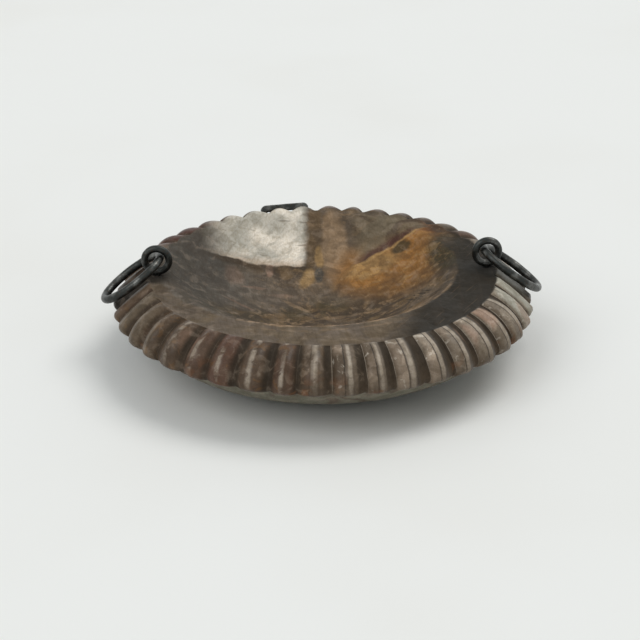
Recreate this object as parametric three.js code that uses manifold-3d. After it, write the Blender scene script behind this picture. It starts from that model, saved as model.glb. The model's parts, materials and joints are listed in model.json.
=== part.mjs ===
// Wooden serving dish with a fluted rim, two iron lifting rings and an iron rim cramp.
// Millimetres, +Z up, origin at the centre of the foot, -Y is the side that faces the viewer.

import * as THREE from 'three';
import { mergeVertices } from 'three/addons/utils/BufferGeometryUtils.js';
import Module from 'manifold-3d';

const wasm = await Module();
wasm.setup();

const { degToRad } = THREE.MathUtils;

// Clearance between touching pieces
const fitGap = 0.3;

// Dish body: overall sizes
const dishRadius = 200;
const rimHeight = 80;
const footRadius = 100;

// Fluted band: lobes like a pie crust, from the lip's outer edge over the shoulder
const bandWidth = 38;
const bandDrop = 29;
const lobeUnderside = 8;
const lobeCrown = 1.7;
const crownInset = 5;
const fluteDepth = 6;
const fluteInset = 1.5;
const fluteDip = 1;
const lobeCount = 42;
const lobeRoundness = 0.7;
const firstFluteAngle = -87.6;
const handWander = 0.07;
const handDepth = 0.15;
const handRhythm = 2.4;
const fluteHollow = 0.5;
const ridgeFlat = 0.12;
const paredShare = 0.9;
const paredSpread = 22;
const paredTo = 4;

// Belly: a step under the lobes, then a full curve down to the foot
const bellyStep = 4;
const bellyRise = 1.2;
const bellyTurnRadius = 165;
const bellyTurnHeight = 13;

// Well: an off-centre hollow, so the smooth lip is wide at the front and right
const wellRadius = 137.5;
const wellShiftX = -11;
const wellShiftY = 19;
const wellDepth = 48;
const wellCurve = 2.2;
const lipDish = 0.6;

// Iron eyes: a bar bent to a closed loop over a square spike driven into the lip
const eyeBar = 7;
const eyeHole = 16;
const eyeRadius = 157;
const spikeLength = 46;
const spikeWidth = 6;
const spikeTip = 2.4;

// Iron rings: round bar, drawn a little longer than wide
const ringBar = 8;
const ringLength = 67;
const ringWidth = 54;
const ringWeldSwell = 0.07;
const ringWeldAngle = 62;
const ringWeldSpread = 0.3;
const ringLiftAngle = 144;
const ringPlay = 0.4;

// Rim cramp: a flat iron staple driven across two lobes at the back
const crampSpan = 50;
const crampThickness = 6.2;
const crampWidth = 7;
const crampLeg = 32;
const crampPoint = 2.8;
const crampCorner = 4.5;
const crampBevel = 1;
const crampProud = 2.4;
const crampSeatAngle = 65;
const crampAzimuth = 102.8;

// Where each handle stands, and where its ring points, in degrees round the dish
const handles = [
  { side: 'right', azimuth: 5, facing: 10 },
  { side: 'left', azimuth: 182.5, facing: 178 },
];

// Facets
const lobeFacets = 6;
const lobeCoarse = 2;
const bandAngles = [90, 72, 54, 36, 18, 0, -22.5, -45];
const wellSteps = [0.16, 0.34, 0.52, 0.68, 0.82, 0.93, 1];
const bellyFacets = 5;
const ringSteps = 44;
const ringSides = 10;
const eyeSteps = 28;
const eyeSides = 8;
const arcFacets = 4;

// Values that follow from the sizes above
const lipRadius = dishRadius - bandWidth;
const shoulderHeight = rimHeight - bandDrop;
const lipInnerHeight = rimHeight - lipDish;
const pitch = 2 * Math.PI / lobeCount;
const eyeLoopRadius = (eyeHole + eyeBar) / 2;
const eyeReach = eyeHole / 2 + eyeBar;

// Materials
const wood = new THREE.MeshStandardMaterial({ color: 0x5d4836, roughness: 0.62, metalness: 0 });
const iron = new THREE.MeshStandardMaterial({ color: 0x2c2d2b, roughness: 0.5, metalness: 0.75 });

// A closed mesh as a solid that can be cut or joined
function toSolid(geometry) {
  const bare = geometry.clone();
  bare.deleteAttribute('normal');
  bare.deleteAttribute('uv');
  const merged = mergeVertices(bare, 1e-5);
  return new wasm.Manifold(new wasm.Mesh({
    numProp: 3,
    vertProperties: new Float32Array(merged.attributes.position.array),
    triVerts: new Uint32Array(merged.index.array),
  }));
}

// A solid back as a mesh
function toGeometry(solid) {
  const mesh = solid.getMesh();
  const geometry = new THREE.BufferGeometry();
  geometry.setAttribute('position', new THREE.BufferAttribute(mesh.vertProperties, 3));
  geometry.setIndex(new THREE.BufferAttribute(mesh.triVerts, 1));
  geometry.computeVertexNormals();
  return geometry;
}

// Triangles between two rings of points, where one ring may have a multiple of the other's points
function stitch(index, inner, outer) {
  const a = (j) => inner.start + j % inner.count;
  const b = (j) => outer.start + j % outer.count;
  const many = Math.max(inner.count, outer.count);
  const few = Math.min(inner.count, outer.count);
  const share = many / few;
  const half = Math.ceil(share / 2);
  for (let j = 0; j < few; j += 1) {
    for (let m = 0; m < share; m += 1) {
      const corner = m < half ? j : j + 1;
      const fine = j * share + m;
      if (outer.count > inner.count || (few === many)) {
        index.push(a(corner), b(fine), b(fine + 1));
      } else {
        index.push(a(fine), b(corner), a(fine + 1));
      }
    }
    if (few === 1) {
      continue;
    }
    if (outer.count > inner.count) {
      index.push(a(j), b(j * share + half), a(j + 1));
    } else if (few === many) {
      index.push(a(j), b(j + 1), a(j + 1));
    } else {
      index.push(a(j * share + half), b(j), b(j + 1));
    }
  }
}

// A skin over rings of points, from the middle of the well over the rim to the middle of the foot
function skin(rings) {
  const positions = [];
  const index = [];
  let previous = null;
  for (const ring of rings) {
    const current = { start: positions.length / 3, count: ring.length };
    for (const point of ring) {
      positions.push(point.x, point.y, point.z);
    }
    if (previous) {
      stitch(index, previous, current);
    }
    previous = current;
  }
  const geometry = new THREE.BufferGeometry();
  geometry.setAttribute('position', new THREE.Float32BufferAttribute(positions, 3));
  geometry.setIndex(index);
  return geometry;
}

function polar(radius, angle, height) {
  return new THREE.Vector3(radius * Math.cos(angle), radius * Math.sin(angle), height);
}

// Flutes are cut by eye, so each one sits and bites a little differently
function fluteAngle(k) {
  return degToRad(firstFluteAngle) + (k + handWander * Math.sin(handRhythm * k)) * pitch;
}

function fluteBite(k) {
  return 1 + handDepth * Math.sin(handRhythm * k + 1);
}

// Columns round the dish: the azimuth, and how far the wood is cut down from the ridge there
function columns(perLobe) {
  const list = [];
  for (let k = 0; k < lobeCount; k += 1) {
    const next = k + 1 === lobeCount ? 0 : k + 1;
    const from = fluteAngle(k);
    const to = fluteAngle(next) + (next === 0 ? 2 * Math.PI : 0);
    for (let i = 0; i < perLobe; i += 1) {
      const u = i / perLobe;
      const bite = fluteBite(k) * (1 - u) + fluteBite(next) * u;
      const cut = bite * (1 - Math.sin(Math.PI * u) ** lobeRoundness);
      list.push({ angle: from + (to - from) * u, cut });
    }
  }
  return list;
}

// The rim's section, at an angle round its shoulder: 90 is the top and 0 the widest line
function arcPoint(centre, widest, top, degrees) {
  const angle = degToRad(degrees);
  const below = lobeUnderside / Math.sin(degToRad(-bandAngles.at(-1)));
  const height = degrees >= 0 ? top - shoulderHeight : below;
  return new THREE.Vector2(
    centre + (widest - centre) * Math.cos(angle),
    shoulderHeight + height * Math.sin(angle),
  );
}

// How far the shoulder is pared flat at an azimuth, which it is where a ring has to lie
function paring(angle) {
  return handles.reduce((most, { azimuth }) => {
    const away = THREE.MathUtils.euclideanModulo(THREE.MathUtils.radToDeg(angle) - azimuth + 180, 360);
    return Math.max(most, paredShare * Math.exp(-(((away - 180) / paredSpread) ** 4)));
  }, 0);
}

// The same section with a share of its shoulder cut away to a straight slope
function slopedPoint(centre, widest, top, degrees, share) {
  const point = arcPoint(centre, widest, top, degrees);
  if (degrees <= paredTo) {
    return point;
  }
  const slope = arcPoint(centre, widest, top, 90);
  slope.lerp(arcPoint(centre, widest, top, paredTo), (90 - degrees) / (90 - paredTo));
  return point.lerp(slope, share);
}

function ridgePoint(degrees, angle) {
  const share = Math.max(ridgeFlat, paring(angle));
  return slopedPoint(lipRadius + crownInset, dishRadius, rimHeight + lobeCrown, degrees, share);
}

function flutePoint(degrees, angle) {
  const share = Math.max(fluteHollow, paring(angle));
  return slopedPoint(lipRadius + fluteInset, dishRadius - fluteDepth, rimHeight - fluteDip, degrees, share);
}

function bandRing(degrees) {
  return columns(lobeFacets).map(({ angle, cut }) => {
    const point = ridgePoint(degrees, angle).lerp(flutePoint(degrees, angle), cut);
    return polar(point.x, angle, point.y);
  });
}

// Distance from the dish's axis to the well's edge, which is a circle off the axis
function wellEdge(angle) {
  const along = wellShiftX * Math.cos(angle) + wellShiftY * Math.sin(angle);
  const shift = wellShiftX ** 2 + wellShiftY ** 2;
  return along + Math.sqrt(wellRadius ** 2 - shift + along ** 2);
}

function wellRing(t) {
  const height = lipInnerHeight - wellDepth * (1 - t ** wellCurve);
  return columns(lobeCoarse).map(({ angle }) => polar(t * wellEdge(angle), angle, height));
}

function lipHeight(radius, angle) {
  const inner = wellEdge(angle);
  return lipInnerHeight + lipDish * (radius - inner) / (lipRadius - inner);
}

function plainRing(radius, height) {
  return columns(lobeCoarse).map(({ angle }) => polar(radius, angle, height));
}

function bellyRings() {
  const lobeEnd = flutePoint(bandAngles.at(-1), 0);
  const curve = new THREE.QuadraticBezierCurve(
    new THREE.Vector2(lobeEnd.x - bellyStep, lobeEnd.y - bellyRise),
    new THREE.Vector2(bellyTurnRadius, bellyTurnHeight),
    new THREE.Vector2(footRadius, 0),
  );
  return curve.getPoints(bellyFacets).map((point) => plainRing(point.x, point.y));
}

function dishSkin() {
  return skin([
    [new THREE.Vector3(0, 0, lipInnerHeight - wellDepth)],
    ...wellSteps.map(wellRing),
    plainRing(lipRadius, rimHeight),
    ...bandAngles.map(bandRing),
    ...bellyRings(),
    [new THREE.Vector3(0, 0, 0)],
  ]);
}

// A four-sided spike hanging from z = 0, its flats along X and Y
function spike(width, tip, length) {
  const geometry = new THREE.CylinderGeometry(width / Math.SQRT2, tip / Math.SQRT2, length, 4, 1);
  geometry.rotateY(Math.PI / 4);
  geometry.rotateX(Math.PI / 2);
  geometry.translate(0, 0, -length / 2);
  return geometry;
}

// An eye, with its loop upright in the XZ plane about the origin and its spike below
function eyeGeometry() {
  const loop = new THREE.TorusGeometry(eyeLoopRadius, eyeBar / 2, eyeSides, eyeSteps);
  loop.rotateX(Math.PI / 2);
  const shank = spike(spikeWidth, spikeTip, spikeLength);
  shank.translate(0, 0, -eyeLoopRadius);
  return toGeometry(toSolid(loop).add(toSolid(shank)));
}

// The hole that an eye's spike is driven into
function spikeHole() {
  const hole = spike(spikeWidth + 2 * fitGap, spikeTip + 2 * fitGap, spikeLength + fitGap);
  hole.translate(0, 0, -eyeLoopRadius);
  return hole;
}

// Centre line of a ring, in the XY plane, starting from the end that hangs in the eye at the origin
function ringLine(angle) {
  return new THREE.Vector3(
    ringLength / 2 * (1 - Math.cos(angle)),
    -ringWidth / 2 * Math.sin(angle),
    0,
  );
}

// A forged ring: round bar, a little swollen where its ends were welded
function ringGeometry() {
  const positions = [];
  const index = [];
  for (let i = 0; i < ringSteps; i += 1) {
    const angle = 2 * Math.PI * i / ringSteps;
    const centre = ringLine(angle);
    const ahead = new THREE.Vector3(ringLength * Math.sin(angle), -ringWidth * Math.cos(angle), 0);
    const across = new THREE.Vector3(ahead.y, -ahead.x, 0).normalize();
    const away = (angle - Math.PI - degToRad(ringWeldAngle)) / ringWeldSpread;
    const radius = ringBar / 2 * (1 + ringWeldSwell * Math.exp(-away * away));
    for (let j = 0; j < ringSides; j += 1) {
      const turn = 2 * Math.PI * (j + 0.5) / ringSides;
      const point = centre.clone().addScaledVector(across, radius * Math.cos(turn));
      point.z += radius * Math.sin(turn);
      positions.push(point.x, point.y, point.z);
      const i2 = (i + 1) % ringSteps;
      const j2 = (j + 1) % ringSides;
      const a = i * ringSides + j;
      const b = i * ringSides + j2;
      const c = i2 * ringSides + j;
      const d = i2 * ringSides + j2;
      index.push(a, c, b, b, c, d);
    }
  }
  const geometry = new THREE.BufferGeometry();
  geometry.setAttribute('position', new THREE.Float32BufferAttribute(positions, 3));
  geometry.setIndex(index);
  geometry.computeVertexNormals();
  return geometry;
}

// Outline of the lobes' ridges and the lip at an azimuth, which a ring comes to lie on
function ridgeOutline(angle) {
  const points = [new THREE.Vector2(wellRadius, lipInnerHeight), new THREE.Vector2(lipRadius, rimHeight)];
  for (const degrees of bandAngles) {
    points.push(ridgePoint(degrees, angle));
  }
  return points;
}

function distanceToOutline(point, outline) {
  let nearest = Infinity;
  for (let i = 1; i < outline.length; i += 1) {
    const side = outline[i].clone().sub(outline[i - 1]);
    const along = point.clone().sub(outline[i - 1]).dot(side) / side.lengthSq();
    const foot = outline[i - 1].clone().addScaledVector(side, THREE.MathUtils.clamp(along, 0, 1));
    nearest = Math.min(nearest, foot.distanceTo(point));
  }
  return nearest;
}

// How far a ring droops, in degrees below level, until its bar comes to rest on the ridges
function droopAngle(place, ringPivot) {
  const rest = ringBar / 2 * (1 + ringWeldSwell) + fitGap;
  const step = 0.1;
  for (let droop = 0; droop < 90; droop += step) {
    const turn = new THREE.Matrix4().makeRotationY(degToRad(droop)).setPosition(ringPivot);
    turn.premultiply(place);
    for (let i = 1; i < ringSteps; i += 1) {
      const point = ringLine(2 * Math.PI * i / ringSteps).applyMatrix4(turn);
      const section = new THREE.Vector2(Math.hypot(point.x, point.y), point.z);
      const outline = ridgeOutline(Math.atan2(point.y, point.x));
      if (section.x > eyeRadius && distanceToOutline(section, outline) < rest) {
        return droop - step;
      }
    }
  }
  return 90;
}

// The cramp's side view, crown at the top and legs down; the cutter has a square, open top
function crampShape(grow, cutter) {
  const half = crampSpan / 2 + grow;
  const top = crampThickness / 2 + (cutter ? crampThickness : 0);
  const under = -crampThickness / 2 - grow;
  const tipHeight = -crampThickness / 2 - crampLeg - grow;
  const inner = crampSpan / 2 - crampThickness - grow;
  const legMiddle = (crampSpan - crampThickness) / 2;
  const tipIn = legMiddle - crampPoint / 2 - grow;
  const tipOut = legMiddle + crampPoint / 2 + grow;
  const shape = new THREE.Shape();
  shape.moveTo(-inner, under);
  shape.lineTo(-tipIn, tipHeight);
  shape.lineTo(-tipOut, tipHeight);
  if (cutter) {
    shape.lineTo(-half, under);
    shape.lineTo(-half, top);
    shape.lineTo(half, top);
  } else {
    shape.lineTo(-half, top - crampCorner);
    shape.absarc(crampCorner - half, top - crampCorner, crampCorner, Math.PI, Math.PI / 2, true);
    shape.absarc(half - crampCorner, top - crampCorner, crampCorner, Math.PI / 2, 0, true);
  }
  shape.lineTo(half, cutter ? under : top - crampCorner);
  shape.lineTo(tipOut, tipHeight);
  shape.lineTo(tipIn, tipHeight);
  shape.lineTo(inner, under);
  shape.closePath();
  return shape;
}

// The cramp, with its crown along Y about the origin
function crampGeometry(grow, cutter) {
  const bevel = cutter ? 0 : crampBevel;
  const depth = crampWidth + 2 * grow - 2 * bevel;
  const geometry = new THREE.ExtrudeGeometry(crampShape(grow - bevel, cutter), {
    depth,
    curveSegments: arcFacets,
    bevelEnabled: bevel > 0,
    bevelSize: bevel,
    bevelThickness: bevel,
    bevelSegments: 1,
  });
  geometry.translate(0, 0, -depth / 2);
  geometry.rotateX(Math.PI / 2);
  geometry.rotateZ(Math.PI / 2);
  return geometry;
}

// The cramp lies square on the shoulder, its crown a little proud of the ridges
function crampPlace() {
  const angle = degToRad(crampAzimuth);
  const seat = ridgePoint(crampSeatAngle, angle);
  const ahead = ridgePoint(crampSeatAngle - 1, angle).sub(ridgePoint(crampSeatAngle + 1, angle)).normalize();
  const normal = new THREE.Vector2(-ahead.y, ahead.x);
  const centre = seat.addScaledVector(normal, crampProud - crampThickness / 2);
  const place = new THREE.Group();
  place.rotation.z = angle;
  const stand = new THREE.Group();
  stand.position.set(centre.x, 0, centre.y);
  stand.rotation.y = Math.atan2(normal.x, normal.y);
  place.add(stand);
  return { place, stand };
}

// Assembly
const dish = new THREE.Group();
let body = toSolid(dishSkin());

for (const { side, azimuth, facing } of handles) {
  const angle = degToRad(azimuth);
  const place = new THREE.Group();
  place.position.copy(polar(eyeRadius, angle, lipHeight(eyeRadius, angle) + fitGap + eyeReach));
  place.rotation.z = degToRad(facing);
  place.updateMatrix();

  const eye = new THREE.Mesh(eyeGeometry(), iron.clone());
  eye.name = `${side}_eye`;
  place.add(eye);

  const lift = eyeHole / 2 - ringBar / 2 - ringPlay;
  const liftAngle = degToRad(ringLiftAngle);
  const ringPivot = new THREE.Vector3(lift * Math.cos(liftAngle), 0, lift * Math.sin(liftAngle));
  const ring = new THREE.Mesh(ringGeometry(), iron.clone());
  ring.name = `${side}_ring`;
  ring.position.copy(ringPivot);
  ring.rotation.y = degToRad(droopAngle(place.matrix, ringPivot));
  place.add(ring);
  dish.add(place);

  body = body.subtract(toSolid(spikeHole().applyMatrix4(place.matrix)));
}

const { place: crampGroup, stand: crampStand } = crampPlace();
crampGroup.updateMatrixWorld(true);
const cramp = new THREE.Mesh(crampGeometry(0, false), iron.clone());
cramp.name = 'rim_cramp';
crampStand.add(cramp);
dish.add(crampGroup);
body = body.subtract(toSolid(crampGeometry(fitGap, true).applyMatrix4(crampStand.matrixWorld)));

const dishBody = new THREE.Mesh(toGeometry(body), wood);
dishBody.name = 'dish_body';
dish.add(dishBody);

export default dish;
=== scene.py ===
# %% [markdown]
# # A carved wooden serving dish with iron rings
#
# The dish on the bench is one block of wood: a flat foot, a full belly, a rim of forty-two round lobes
# parted by flutes, a smooth lip and a hollow that sits off-centre. Two forged rings hang in iron eyes, and
# an iron cramp bites across the lobes at the back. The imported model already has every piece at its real
# size and place, so this script only dresses it: finer meshes of the same forms, worn wood, forged iron.

# %% Load the frame
import json
import math

import bmesh
import bpy
from mathutils import Matrix, Vector

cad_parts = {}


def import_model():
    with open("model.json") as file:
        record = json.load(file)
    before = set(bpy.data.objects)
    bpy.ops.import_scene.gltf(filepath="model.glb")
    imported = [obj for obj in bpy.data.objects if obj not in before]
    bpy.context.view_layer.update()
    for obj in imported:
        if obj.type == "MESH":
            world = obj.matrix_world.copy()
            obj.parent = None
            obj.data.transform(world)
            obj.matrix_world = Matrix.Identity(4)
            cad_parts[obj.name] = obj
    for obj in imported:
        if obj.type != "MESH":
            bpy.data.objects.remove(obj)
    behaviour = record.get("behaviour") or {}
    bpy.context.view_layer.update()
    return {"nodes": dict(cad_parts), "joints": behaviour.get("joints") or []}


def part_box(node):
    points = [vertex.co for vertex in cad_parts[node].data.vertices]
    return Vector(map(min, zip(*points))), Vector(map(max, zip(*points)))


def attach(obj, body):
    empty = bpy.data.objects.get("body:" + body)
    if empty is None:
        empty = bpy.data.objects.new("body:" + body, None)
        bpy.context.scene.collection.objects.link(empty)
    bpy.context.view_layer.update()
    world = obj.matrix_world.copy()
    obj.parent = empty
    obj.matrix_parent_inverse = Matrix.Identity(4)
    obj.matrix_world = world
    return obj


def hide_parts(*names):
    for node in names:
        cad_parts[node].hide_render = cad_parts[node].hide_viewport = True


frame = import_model()
nodes = frame["nodes"]
hinges = {joint["child"]: joint for joint in frame["joints"]}
scene = bpy.context.scene
print("pieces:", ", ".join(sorted(nodes)))

# %% [markdown]
# ## The camera
#
# A long lens from a few steps away, looking down by 23 degrees: the far rim then shows as a low arc and
# the near lobes as short columns. The dish sits a little above the middle of the picture. That is a lens
# shift and not a tilt, so the view keeps its angle.

# %% Helpers: a new object, and a direction
def placed(name, data):
    """A new object in the scene, at the origin."""
    made = bpy.data.objects.new(name, data)
    scene.collection.objects.link(made)
    return made


def heading(degrees):
    """The cosine and the sine of a direction."""
    angle = math.radians(degrees)
    return math.cos(angle), math.sin(angle)


# %% Camera
VIEW_ELEVATION = 23
VIEW_DISTANCE = 1.8
VIEW_TARGET = Vector((0, 0, 0.08))
PIXELS = 640
PIXELS_PER_METRE = 1052.6
TARGET_PIXEL = (323, 272)
SENSOR_MM = 36
FARTHEST_SEEN = 20

camera_data = bpy.data.cameras.new("photo_camera")
camera_data.sensor_width = SENSOR_MM
camera_data.lens = PIXELS_PER_METRE * VIEW_DISTANCE / PIXELS * SENSOR_MM
camera_data.shift_x = 0.5 - TARGET_PIXEL[0] / PIXELS
camera_data.shift_y = TARGET_PIXEL[1] / PIXELS - 0.5
camera_data.clip_end = FARTHEST_SEEN
camera = placed("photo_camera", camera_data)
back, up = heading(VIEW_ELEVATION)
camera.location = VIEW_TARGET + VIEW_DISTANCE * Vector((0, -back, up))
camera.rotation_euler = (math.radians(90 - VIEW_ELEVATION), 0, 0)
scene.camera = camera
print(f"lens {camera_data.lens:.1f} mm, camera {VIEW_DISTANCE} m from the dish")

# %% [markdown]
# ## Writing node trees as sums
#
# Both the carving and the finishes are formulas: a lobe's height, the edge of a stain. A node tree is the
# place for them, but wiring nodes by hand hides the formula. `Graph` adds a node and feeds its inputs in
# one call. `Value` is what comes out of a node. It can be added or multiplied with the usual signs, turned
# into a soft step, or given another coat of colour, so the trees below read as sums.


# %% Helpers: sums in node trees
class Value:
    """What comes out of a node: a number, a place or a colour."""

    def __init__(self, graph, socket):
        self.graph = graph
        self.socket = socket

    def __add__(self, other):
        return self.graph.math("ADD", self, other)

    def __sub__(self, other):
        return self.graph.math("SUBTRACT", self, other)

    def __rsub__(self, other):
        return self.graph.math("SUBTRACT", other, self)

    def __mul__(self, other):
        return self.graph.math("MULTIPLY", self, other)

    def __truediv__(self, other):
        return self.graph.math("DIVIDE", self, other)

    def __neg__(self):
        return self * -1

    def __abs__(self):
        return self.graph.math("ABSOLUTE", self)

    __radd__ = __add__
    __rmul__ = __mul__

    def step(self, low, high):
        """A soft step: 0 up to low and 1 from high on. It falls where high is the smaller number."""
        return self.graph.result("ShaderNodeMapRange", {"Value": self, "From Min": low, "From Max": high},
                                 interpolation_type="SMOOTHSTEP")

    def between(self, first, second):
        """The first number where this is 0, and the second where it is 1."""
        return self.graph.result("ShaderNodeMix", {0: self, 2: first, 3: second}, data_type="FLOAT")

    def tint(self, first, second):
        """The first colour where this is 0, and the second where it is 1."""
        return self.graph.colour(self, first, second)

    def coat(self, amount, colour, blend="MIX"):
        """This colour with another one over it, as thick as amount says."""
        return self.graph.colour(amount, self, colour, blend)

    def split(self):
        """The three numbers of a place."""
        parts = self.graph.node("ShaderNodeSeparateXYZ", {0: self})
        return [Value(self.graph, socket) for socket in parts.outputs]

    def moved(self, offset):
        """The same place further on, where noise looks different."""
        return self.graph.result("ShaderNodeVectorMath", {0: self, 1: offset}, operation="ADD")

    def noise(self, size, detail=3.0, roughness=0.55, twist=0.0):
        """Cloudy noise round 0.5 at this place, its lumps about as large as size, in metres."""
        wanted = {"Vector": self, "Scale": 1 / size, "Detail": detail, "Roughness": roughness}
        return self.graph.result("ShaderNodeTexNoise", {**wanted, "Distortion": twist})


class Graph:
    """A shader or geometry tree."""

    def __init__(self, tree):
        self.tree = tree

    def feed(self, node, inputs):
        """Links or sets a node's inputs, by name or by number."""
        for name, value in inputs.items():
            target = node.inputs[name]
            if isinstance(value, Value):
                self.tree.links.new(value.socket, target)
            else:
                target.default_value = (*value, 1) if target.type == "RGBA" else value

    def node(self, kind, inputs=None, **settings):
        made = self.tree.nodes.new(kind)
        for name, setting in settings.items():
            setattr(made, name, setting)
        self.feed(made, inputs or {})
        return made

    def result(self, kind, inputs=None, output=0, **settings):
        """Adds a node and hands on what comes out of it."""
        return Value(self, self.node(kind, inputs, **settings).outputs[output])

    def math(self, operation, *values):
        return self.result("ShaderNodeMath", dict(enumerate(values)), operation=operation)

    def combine(self, x, y, z):
        return self.result("ShaderNodeCombineXYZ", {0: x, 1: y, 2: z})

    def colour(self, amount, first, second, blend="MIX"):
        return self.result("ShaderNodeMix", {0: amount, 6: first, 7: second}, 2,
                           data_type="RGBA", blend_type=blend, clamp_factor=True)


print("helpers ready")

# %% [markdown]
# ## The dish's section
#
# A turned bowl has one outline. A gadrooned dish has two: one over the crown of a lobe and one down the
# bottom of a flute, and every column in between lies on a straight blend of the two. The outlines are
# drawn here once, as rows of points from the middle of the hollow over the rim to the middle of the foot.
# The hollow is off-centre, so its rows hold a share of the way to its edge instead of a fixed radius.

# %% Sizes of the dish, in metres
DISH_RADIUS = 0.2
RIM_HEIGHT = 0.08
LIP_RADIUS = 0.162
SHOULDER_HEIGHT = 0.051
LOBE_UNDERSIDE = 0.008
LOBE_END_ANGLE = -45
LOBE_CROWN = 0.0017
CROWN_INSET = 0.005
FLUTE_DEPTH = 0.006
FLUTE_INSET = 0.0015
FLUTE_DIP = 0.001
FLUTE_HOLLOW = 0.5
RIDGE_FLAT = 0.12
PARED_SHARE = 0.9
PARED_TO = 4
PARED_SPREAD = 22
HANDLE_AZIMUTHS = (5, 182.5)
LOBE_COUNT = 42
WELL_RADIUS = 0.1375
WELL_SHIFT = Vector((-0.011, 0.019))
WELL_DEPTH = 0.048
WELL_CURVE = 2.2
LIP_DISH = 0.0006
BELLY_STEP = 0.004
BELLY_RISE = 0.0012
BELLY_TURN = Vector((0.165, 0.013))
FOOT_RADIUS = 0.1
lip_inner = RIM_HEIGHT - LIP_DISH
print(f"dish {2 * DISH_RADIUS:.3f} m across and {RIM_HEIGHT:.3f} m high, {LOBE_COUNT} lobes")


# %% Rows of the section
def shoulder_arc(top, widest, degrees):
    """A point of the shoulder: 90 degrees is its top, 0 its widest line."""
    out, up = heading(degrees)
    below = LOBE_UNDERSIDE / heading(-LOBE_END_ANGLE)[1]
    height = top.y - SHOULDER_HEIGHT if degrees >= 0 else below
    return Vector((top.x + (widest - top.x) * out, SHOULDER_HEIGHT + height * up))


def shoulder_point(top, widest, degrees, share):
    """The same point with a share of the shoulder cut away to a straight slope."""
    point = shoulder_arc(top, widest, degrees)
    if degrees <= PARED_TO:
        return point
    down_slope = (90 - degrees) / (90 - PARED_TO)
    slope = shoulder_arc(top, widest, 90).lerp(shoulder_arc(top, widest, PARED_TO), down_slope)
    return point.lerp(slope, share)


def bezier(start, turn, end, count):
    """Points of a quadratic curve, without its first point."""
    shares = [(i + 1) / count for i in range(count)]
    return [start.lerp(turn, t).lerp(turn.lerp(end, t), t) for t in shares]


WELL_ROWS = 26
EDGE_ROWS = 7
LIP_ROWS = 6
CREST_ROWS = 4
BAND_STEP = 5
BELLY_ROWS = 18
FOOT_SHARES = (0.97, 0.6, 0.25, 0)
EDGE_IN = 0.955
EDGE_OUT = 0.16


def section_rows():
    """Rows of (share of the hollow's edge, ridge, flute, pared ridge, pared flute, weight of the lobes)."""
    rows = []

    def add(share, ridge, flute=None, pared=None, pared_flute=None, band=0.0):
        rows.append((share, ridge, flute or ridge, pared or ridge, pared_flute or flute or ridge, band))

    for i in range(WELL_ROWS + 1):
        t = EDGE_IN * i / WELL_ROWS
        add(t, Vector((0, lip_inner - WELL_DEPTH * (1 - t ** WELL_CURVE))))
    start = Vector((EDGE_IN, 0, rows[-1][1].y))
    end = Vector((1 - EDGE_OUT, EDGE_OUT * LIP_RADIUS, lip_inner + EDGE_OUT * LIP_DISH))
    for point in bezier(start, Vector((1, 0, lip_inner)), end, EDGE_ROWS):
        add(point.x, Vector((point.y, point.z)))
    for i in range(1, LIP_ROWS + 1):
        s = EDGE_OUT + (1 - EDGE_OUT) * i / LIP_ROWS
        add(1 - s, Vector((s * LIP_RADIUS, lip_inner + s * LIP_DISH)))

    crown = Vector((LIP_RADIUS + CROWN_INSET, RIM_HEIGHT + LOBE_CROWN))
    mouth = Vector((LIP_RADIUS + FLUTE_INSET, RIM_HEIGHT - FLUTE_DIP))
    lip = Vector((LIP_RADIUS, RIM_HEIGHT))
    ridge_turn = Vector((LIP_RADIUS + CROWN_INSET / 2, RIM_HEIGHT + LOBE_CROWN))
    flute_turn = Vector((LIP_RADIUS + FLUTE_INSET, RIM_HEIGHT))
    ridges = bezier(lip, ridge_turn, crown, CREST_ROWS)
    flutes = bezier(lip, flute_turn, mouth, CREST_ROWS)
    for i, (ridge, flute) in enumerate(zip(ridges, flutes)):
        add(0, ridge, flute, band=(i + 1) / CREST_ROWS)

    for degrees in range(90 - BAND_STEP, LOBE_END_ANGLE - 1, -BAND_STEP):
        outlines = []
        for ridge_share, flute_share in ((RIDGE_FLAT, FLUTE_HOLLOW), (PARED_SHARE, PARED_SHARE)):
            outlines.append(shoulder_point(crown, DISH_RADIUS, degrees, ridge_share))
            outlines.append(shoulder_point(mouth, DISH_RADIUS - FLUTE_DEPTH, degrees, flute_share))
        add(0, *outlines, 1.0)

    flute_end = rows[-1][2]
    under = Vector((flute_end.x - BELLY_STEP, flute_end.y - BELLY_RISE))
    add(0, rows[-1][1].lerp(under, 0.5), flute_end.lerp(under, 0.5), band=0.5)
    add(0, under)
    for point in bezier(under, BELLY_TURN, Vector((FOOT_RADIUS, 0)), BELLY_ROWS):
        add(0, point)
    for share in FOOT_SHARES:
        add(0, Vector((share * FOOT_RADIUS, 0)))
    return rows


rows = section_rows()
print(f"{len(rows)} rows in the section")

# %% The section as a mesh whose points carry the rows
section = bpy.data.meshes.new("dish_section")
section.from_pydata([(ridge.x, 0, ridge.y) for _, ridge, *_ in rows], [], [])
INNER_ROWS = WELL_ROWS + 1 + EDGE_ROWS + LIP_ROWS + CREST_ROWS
carried = {
    "edge_share": [row[0] for row in rows],
    "band": [row[5] for row in rows],
    "inside": [float(i < INNER_ROWS) for i in range(len(rows))],
}
for name, numbers in carried.items():
    section.attributes.new(name, "FLOAT", "POINT").data.foreach_set("value", numbers)
for name, column in (("ridge", 1), ("flute", 2), ("pared", 3), ("pared_flute", 4)):
    points = [number for row in rows for number in (row[column].x, 0, row[column].y)]
    section.attributes.new(name, "FLOAT_VECTOR", "POINT").data.foreach_set("vector", points)
dish = placed("carved_dish", section)
print("the section carries:", ", ".join(sorted(section.attributes.keys())))

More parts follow.
